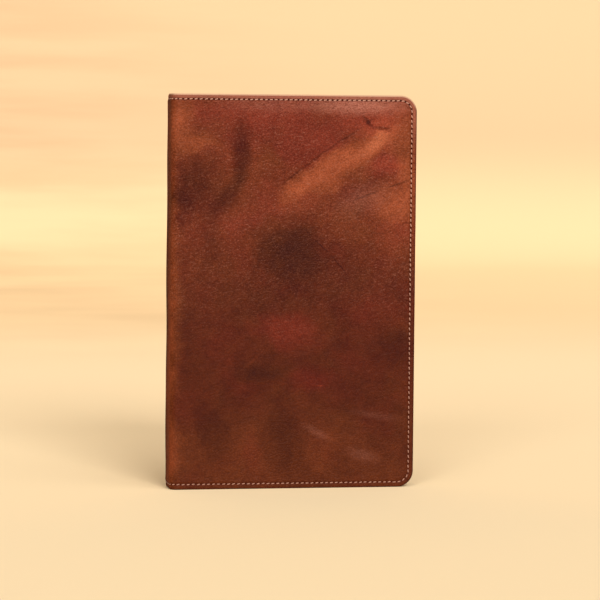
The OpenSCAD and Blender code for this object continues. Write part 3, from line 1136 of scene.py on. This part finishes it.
class NOTEBOOKCOVER_OT_stitching(bpy.types.Operator):
    """Sews the seam: a row of slanting stitches outside and another inside, from the spine right
    round each half"""

    bl_idname = "notebookcover.stitching"
    bl_label = "Stitching"

    def execute(self, context):
        material = thread_finish(colours().thread)
        for word, side in SIDES:
            piece = self.sew(f"{word}_thread", side)
            paint(piece, material)
            bend_with_fold(piece, side)
            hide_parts(f"{word}_stitching", "spine_stitching")
        return {"FINISHED"}

    def sew(self, name, side):
        """Each stitch arches between two needle holes: its height follows a flat arch and its
        ends go under the leather. It leans across the seam, and small random differences keep
        the row from being machine-perfect."""
        along, count = stitch_scale()
        total = int(round(count[-1]))
        rng = np.random.default_rng(5)
        # How deep the thread's middle lies in the outer leather, and the groove and depth inside
        sunk, inner_groove, inner_sunk = 0.1, 0.17, 0.05
        # At each ring of a stitch: its place along it, its height and its share of the full width
        share = np.array([-1.0, -0.86, -0.55, -0.18, 0.18, 0.55, 0.86, 1.0])
        lift = np.array([-0.62, -0.05, 0.2, 0.3, 0.3, 0.2, -0.05, -0.62])
        full = np.array([0.55, 0.8, 1.0, 1.0, 1.0, 1.0, 0.8, 0.55])
        centre = np.interp(np.arange(total) + 0.5, count, along)[:, None]
        shift = rng.normal(0, 0.05, (2, total, 1))
        length = sizes().stitch_length / MM / 2 * (1 + rng.normal(0, 0.03, (total, 1)))
        slant = sizes().stitch_slant / MM / 2 * (1 + rng.normal(0, 0.25, (total, 1)))
        half = sizes().thread_width / MM / 2
        t = centre + shift[0] + share * length
        off = shift[1] * 0.8 + share * slant
        rows = []
        for inside in (False, True):
            s, z = seam_point(t, off)
            mid_s, mid_z = seam_point(centre, np.zeros_like(centre))
            if inside:
                pocketed = closed_cover(mid_s, 0)[0] > POCKET[0][0] + 0.6
                under = INSIDE_D + crown(mid_s, mid_z) + np.where(pocketed, POCKET_T, 0)
                depth, up = under - inner_groove + lift + inner_sunk, 1
            else:
                depth, up = outside_depth(mid_s, mid_z, side) - lift + sunk, -1
            point = cover_point(s, depth, z)
            above = cover_point(s, depth + up, z) - point
            next_s, next_z = seam_point(t, off + 0.1)
            across = cover_point(next_s, depth, next_z) - point
            across /= np.linalg.norm(across, axis=2, keepdims=True)
            rows.append((point, across * (-up), above))
        point, across, above = (np.concatenate(part) for part in zip(*rows))
        widths = np.broadcast_to(half * full, point.shape[:2])
        turns = np.arange(TUBE_SIDES) / TUBE_SIDES
        ply = np.zeros((*point.shape[:2], TUBE_SIDES, 3))
        ply[..., 0] = (share * sizes().stitch_length / MM / 2)[None, :, None]
        ply[..., 1] = np.abs(turns * 2 - 1) * 2
        ply[..., 2] = np.arange(len(point))[:, None, None]
        ends = ply[:, (0, -1), 0]
        values = {"ply": np.concatenate([ply.reshape(len(point), -1, 3), ends], axis=1)}
        return tubes(name, point, across, above, widths, widths * 0.8, values, side)


class NOTEBOOKCOVER_OT_case(bpy.types.Operator):
    """Makes the notebook's cloth case: a board, the cloth joint and half of the spine strip on
    each side"""

    bl_idname = "notebookcover.case"
    bl_label = "Notebook Case"

    def execute(self, context):
        material = cloth_finish(colours().cloth)
        for word, side in SIDES:
            piece = self.half_case(f"{word}_case", side)
            paint(piece, material)
            bend_with_fold(piece, side)
            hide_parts(f"notebook_{word}_board", "notebook_spine_strip")
        return {"FINISHED"}

    def half_case(self, name, side):
        """The case's outer side lies on the lining, and its thickness changes along it: the
        strip, then bare cloth round the bend and in the joint, then the board."""
        low, high = BOARD[0][2], BOARD[1][2]
        board_s, end = front_s(BOARD[0][0]), front_s(BOARD[1][0])
        steps = np.array([-0.5, -0.3, -0.1, 0.1, 0.3, 0.5])
        lines = np.concatenate(
            [
                [0, 2, 4],
                BEND_S + steps,
                np.linspace(BEND_S + 1, FACE_S, 8),
                [FACE_S + 2],
                board_s + steps,
                grid_lines(board_s + 1, end, 3.0, np.array([0, 1.5]), PLAIN_RIM),
            ]
        )
        s, z = np.meshgrid(lines, grid_lines(low, high, 3.0, PLAIN_RIM, PLAIN_RIM), indexing="ij")
        s, z = round_corners(s, z, end, low, high, BOOK_CORNER_R)
        inset = inset_from(s, z, end, low, high, BOOK_CORNER_R)
        strip, cloth, board = STRIP_D - INSIDE_D, 0.45, BOARD_D - INSIDE_D
        thick = strip + (cloth - strip) * ease(s - BEND_S + 0.5)
        thick = thick + (board - cloth) * ease(s - board_s + 0.5)
        drop = edge_round(inset, 0.4) * thick / board
        depths = INSIDE_D + 2 * CLEAR + drop, INSIDE_D + thick - CLEAR - drop
        across = side * s - FACE_S + BEND_X
        faces = [cover_point(s, d, z) for d in depths]
        values = {"hide": [np.stack([across, z, d], axis=2) for d in depths]}
        return shell(name, *faces, side=side, values=values, sharp=s < 1e-6)


class NOTEBOOKCOVER_OT_pages(bpy.types.Operator):
    """Makes the two halves of the page block and their headbands"""

    bl_idname = "notebookcover.pages"
    bl_label = "Pages"

    def execute(self, context):
        material = pages_finish(colours().paper)
        silk = band_finish()
        for (word, side), body in zip(SIDES, ("page_block_front", "back_cover")):
            piece = self.leaves(f"{word}_leaves", side)
            paint(piece, material)
            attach(piece, body)
            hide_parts(f"{word}_pages")
            bands = self.headbands(f"{word}_headbands", side)
            paint(bands, silk)
            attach(bands, body)
        return {"FINISHED"}

    def leaves(self, name, side):
        """Half the block: two faces with round corners, and between them the edges of bundles of
        leaves, each drawn in by its own small distance. Towards the spine the inner face rolls
        down into the gutter."""
        (x0, y0, z0), (x1, y1, z1) = PAGES
        x0 += GUTTER
        radius = BOOK_CORNER_R
        gutter = x0 + np.array([0, 0.4, 0.9, 1.5, 2.3, 3.2, 4.2])
        flat = grid_lines(x0 + 5.2, x1, 4.0, np.array([0, 2]), PLAIN_RIM)
        lines = np.concatenate([gutter, flat])
        x, z = np.meshgrid(lines, grid_lines(z0, z1, 4.0, PLAIN_RIM, PLAIN_RIM), indexing="ij")
        x, z = round_corners(x, z, x1, z0, z1, radius)
        inset = inset_from(x, z, x1, z0, z1, radius)
        rolled, reach, bundles = 0.35, 4.2, 26
        roll = rolled * np.clip(1 - (x - x0) / reach, 0, 1) ** 2
        rng = np.random.default_rng(3)
        through = np.repeat(np.linspace(0, 1, bundles + 1), 2)[1:-1]
        drawn = np.repeat(rng.uniform(0, 0.16, bundles), 2)
        drawn[::2] += 0.02
        middle_x, middle_z = (x0 + x1) / 2, (z0 + z1) / 2
        share_x, share_z = (x - middle_x) / (x1 - x0) * 2, (z - middle_z) / (z1 - z0) * 2
        spine = np.where(share_x < 0, 0.0, share_x)
        rims = [
            np.stack([x - d * spine, y0 + (y1 - roll - y0) * t, z - d * share_z], axis=2)
            for t, d in zip(through[1:-1], drawn[1:-1])
        ]
        outer = np.stack([x, np.full_like(x, y0) + edge_round(inset, 0.1), z], axis=2)
        inner = np.stack([x, y1 - roll - edge_round(inset, 0.1), z], axis=2)
        values = {"leaf": [np.stack([np.full_like(x, y), inset, x], axis=2) for y in (0, 1)]}
        piece = shell(name, outer, inner, rims, side, values)
        points = np.empty(len(piece.data.vertices) * 3, np.float32)
        piece.data.vertices.foreach_get("co", points)
        leaf = np.empty_like(points)
        layer = piece.data.attributes["leaf"].data
        layer.foreach_get("vector", leaf)
        leaf[::3] = points[1::3] / MM
        layer.foreach_set("vector", leaf)
        return piece

    def headbands(self, name, side):
        """A short round roll across the spine's edge of the half block, at its tail and at its head."""
        (x0, y0, z0), (_, y1, z1) = PAGES
        y = np.linspace(y0 + 0.1, y1 - 0.02, 12)
        x = np.full_like(y, x0 + GUTTER + 0.56)
        ends = [np.full_like(y, z) for z in (z0 - 0.25, z1 + 0.25)]
        centres = np.stack([np.stack([x, y, z], axis=1) for z in ends])
        ones = np.ones_like(centres)
        across, upward = ones * (1, 0, 0), ones * (0, 0, -1)
        half = np.full(centres.shape[:2], 0.55)
        ply = np.zeros((2, len(y), TUBE_SIDES, 3))
        ply[..., 0] = y[None, :, None]
        values = {"ply": np.concatenate([ply.reshape(2, -1, 3), ply[:, (0, -1), 0]], axis=1)}
        return tubes(name, centres, across, upward, half, half, values, side)


class NOTEBOOKCOVER_OT_endpapers(bpy.types.Operator):
    """Gives the endpapers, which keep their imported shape, their paper"""

    bl_idname = "notebookcover.endpapers"
    bl_label = "Endpapers"

    def execute(self, context):
        material = endpaper_finish(colours().endpaper)
        for word, _ in SIDES:
            for sheet in ("pastedown", "flyleaf"):
                paint_node(f"{word}_{sheet}", material)
        return {"FINISHED"}


# Each light's degrees to the right of the front face's normal and above the floor, its spread in
# degrees and its power
LAMPS = (
    ("key_light", 6.0, 24.0, 22.0, 2.6),
    ("fill_light", -25.0, 24.0, 20.0, 1.05),
    ("top_light", 10.0, 64.0, 54.0, 1.55),
)


def outward(aside, above):
    """The direction at these angles to the right of the front face's normal and above the floor."""
    level = math.cos(above)
    return (level * math.sin(aside), -level * math.cos(aside), math.sin(above))


class NOTEBOOKCOVER_OT_studio(bpy.types.Operator):
    """Sets up the pale paper sweep, the lights and the camera"""

    bl_idname = "notebookcover.studio"
    bl_label = "Studio"

    def execute(self, context):
        self.sweep()
        # Colours are shown as they are set, with no film curve
        context.scene.view_settings.view_transform = "Standard"
        self.lights(context.scene)
        self.camera(context.scene)
        return {"FINISHED"}

    def sweep(self):
        """A floor that curves up into a wall: a flat, a quarter turn and a flat, carried across."""
        radius, back, front, width, height = 1200.0, 2400.0, -4500.0, 4500.0, 4500.0
        lines_along, lines_across = 20, 30
        turn = np.linspace(0, np.pi / 2, 25)
        floor = np.linspace(front, back, lines_along)[:-1]
        y = np.concatenate([floor, back + radius * np.sin(turn), [back + radius]])
        z = np.concatenate([0 * floor, radius * (1 - np.cos(turn)), [height]])
        x, y = np.meshgrid(np.linspace(-width, width, lines_across), y, indexing="ij")
        grid = np.stack([x, y, np.broadcast_to(z, x.shape)], axis=2)
        paper = as_mesh("studio_sweep", grid.reshape(-1, 3), [grid_faces(*x.shape)])
        paint(paper, backdrop_finish(colours().backdrop))

    def lights(self, scene):
        """Three soft distant lights and a low even light from all round."""
        world = bpy.data.worlds.new("studio_air")
        world.use_nodes = True
        air = world.node_tree.nodes["Background"]
        air.inputs["Color"].default_value = (1.0, 0.97, 0.93, 1.0)
        air.inputs["Strength"].default_value = 0.14
        scene.world = world
        for name, aside, above, spread, power in LAMPS:
            lamp = bpy.data.lights.new(name, "SUN")
            lamp.angle = math.radians(spread)
            lamp.energy = power
            lamp.color = (1.0, 0.975, 0.94)
            holder = bpy.data.objects.new(name, lamp)
            scene.collection.objects.link(holder)
            aside, above = math.radians(aside), math.radians(above)
            look_from(holder, outward(aside, above), (0, 0, 0))

    def camera(self, scene):
        """The camera looks at the front face from a little above and from the spine's side."""
        distance, lens, sensor, far = 1.8, 190.28, 36.0, 20.0
        aside, above, roll = (math.radians(angle) for angle in (10.75, 3.33, 0.52))
        aim_right, aim_down = 0.0035, 0.00437
        middle = np.array([0, FRONT_Y, COVER_H / 2]) * MM
        away = np.array(outward(-aside, above))
        right = np.array([math.cos(aside), -math.sin(aside), 0])
        aim = middle + aim_right * right - aim_down * np.cross(right, -away)
        data = bpy.data.cameras.new("studio_camera")
        data.lens, data.sensor_width, data.clip_end = lens, sensor, far
        holder = bpy.data.objects.new("studio_camera", data)
        scene.collection.objects.link(holder)
        look_from(holder, middle + distance * away, aim, roll)
        scene.camera = holder


def look_from(holder, place, aim, roll=0.0):
    """Puts a light or camera at a place, looking at aim, and turns it by roll about its line of
    sight."""
    ahead = Vector(aim) - Vector(place)
    turn = ahead.to_track_quat("-Z", "Y").to_matrix().to_4x4()
    holder.matrix_world = Matrix.Translation(Vector(place)) @ turn @ Matrix.Rotation(roll, 4, "Z")


OPERATORS = (
    NOTEBOOKCOVER_OT_leather,
    NOTEBOOKCOVER_OT_lining,
    NOTEBOOKCOVER_OT_pockets,
    NOTEBOOKCOVER_OT_stitching,
    NOTEBOOKCOVER_OT_case,
    NOTEBOOKCOVER_OT_pages,
    NOTEBOOKCOVER_OT_endpapers,
    NOTEBOOKCOVER_OT_studio,
)


class NOTEBOOKCOVER_PT_panel(bpy.types.Panel):
    """Lists the operators and the sizes and colours that they use"""

    bl_idname = "NOTEBOOKCOVER_PT_panel"
    bl_label = "Notebook Cover"
    bl_space_type = "VIEW_3D"
    bl_region_type = "UI"
    bl_category = "Notebook Cover"

    def draw(self, context):
        for group in (context.scene.notebook_cover_sizes, context.scene.notebook_cover_colours):
            for name in group.__annotations__:
                self.layout.prop(group, name)
        for operator in OPERATORS:
            self.layout.operator(operator.bl_idname)


CLASSES = (CoverSizes, CoverColours, *OPERATORS, NOTEBOOKCOVER_PT_panel)


def register():
    for item in CLASSES:
        bpy.utils.register_class(item)
    bpy.types.Scene.notebook_cover_sizes = bpy.props.PointerProperty(type=CoverSizes)
    bpy.types.Scene.notebook_cover_colours = bpy.props.PointerProperty(type=CoverColours)


def unregister():
    del bpy.types.Scene.notebook_cover_colours
    del bpy.types.Scene.notebook_cover_sizes
    for item in reversed(CLASSES):
        bpy.utils.unregister_class(item)


def main():
    register()
    for operator in OPERATORS:
        group, name = operator.bl_idname.split(".")
        getattr(getattr(bpy.ops, group), name)()


if __name__ == "__main__":
    main()
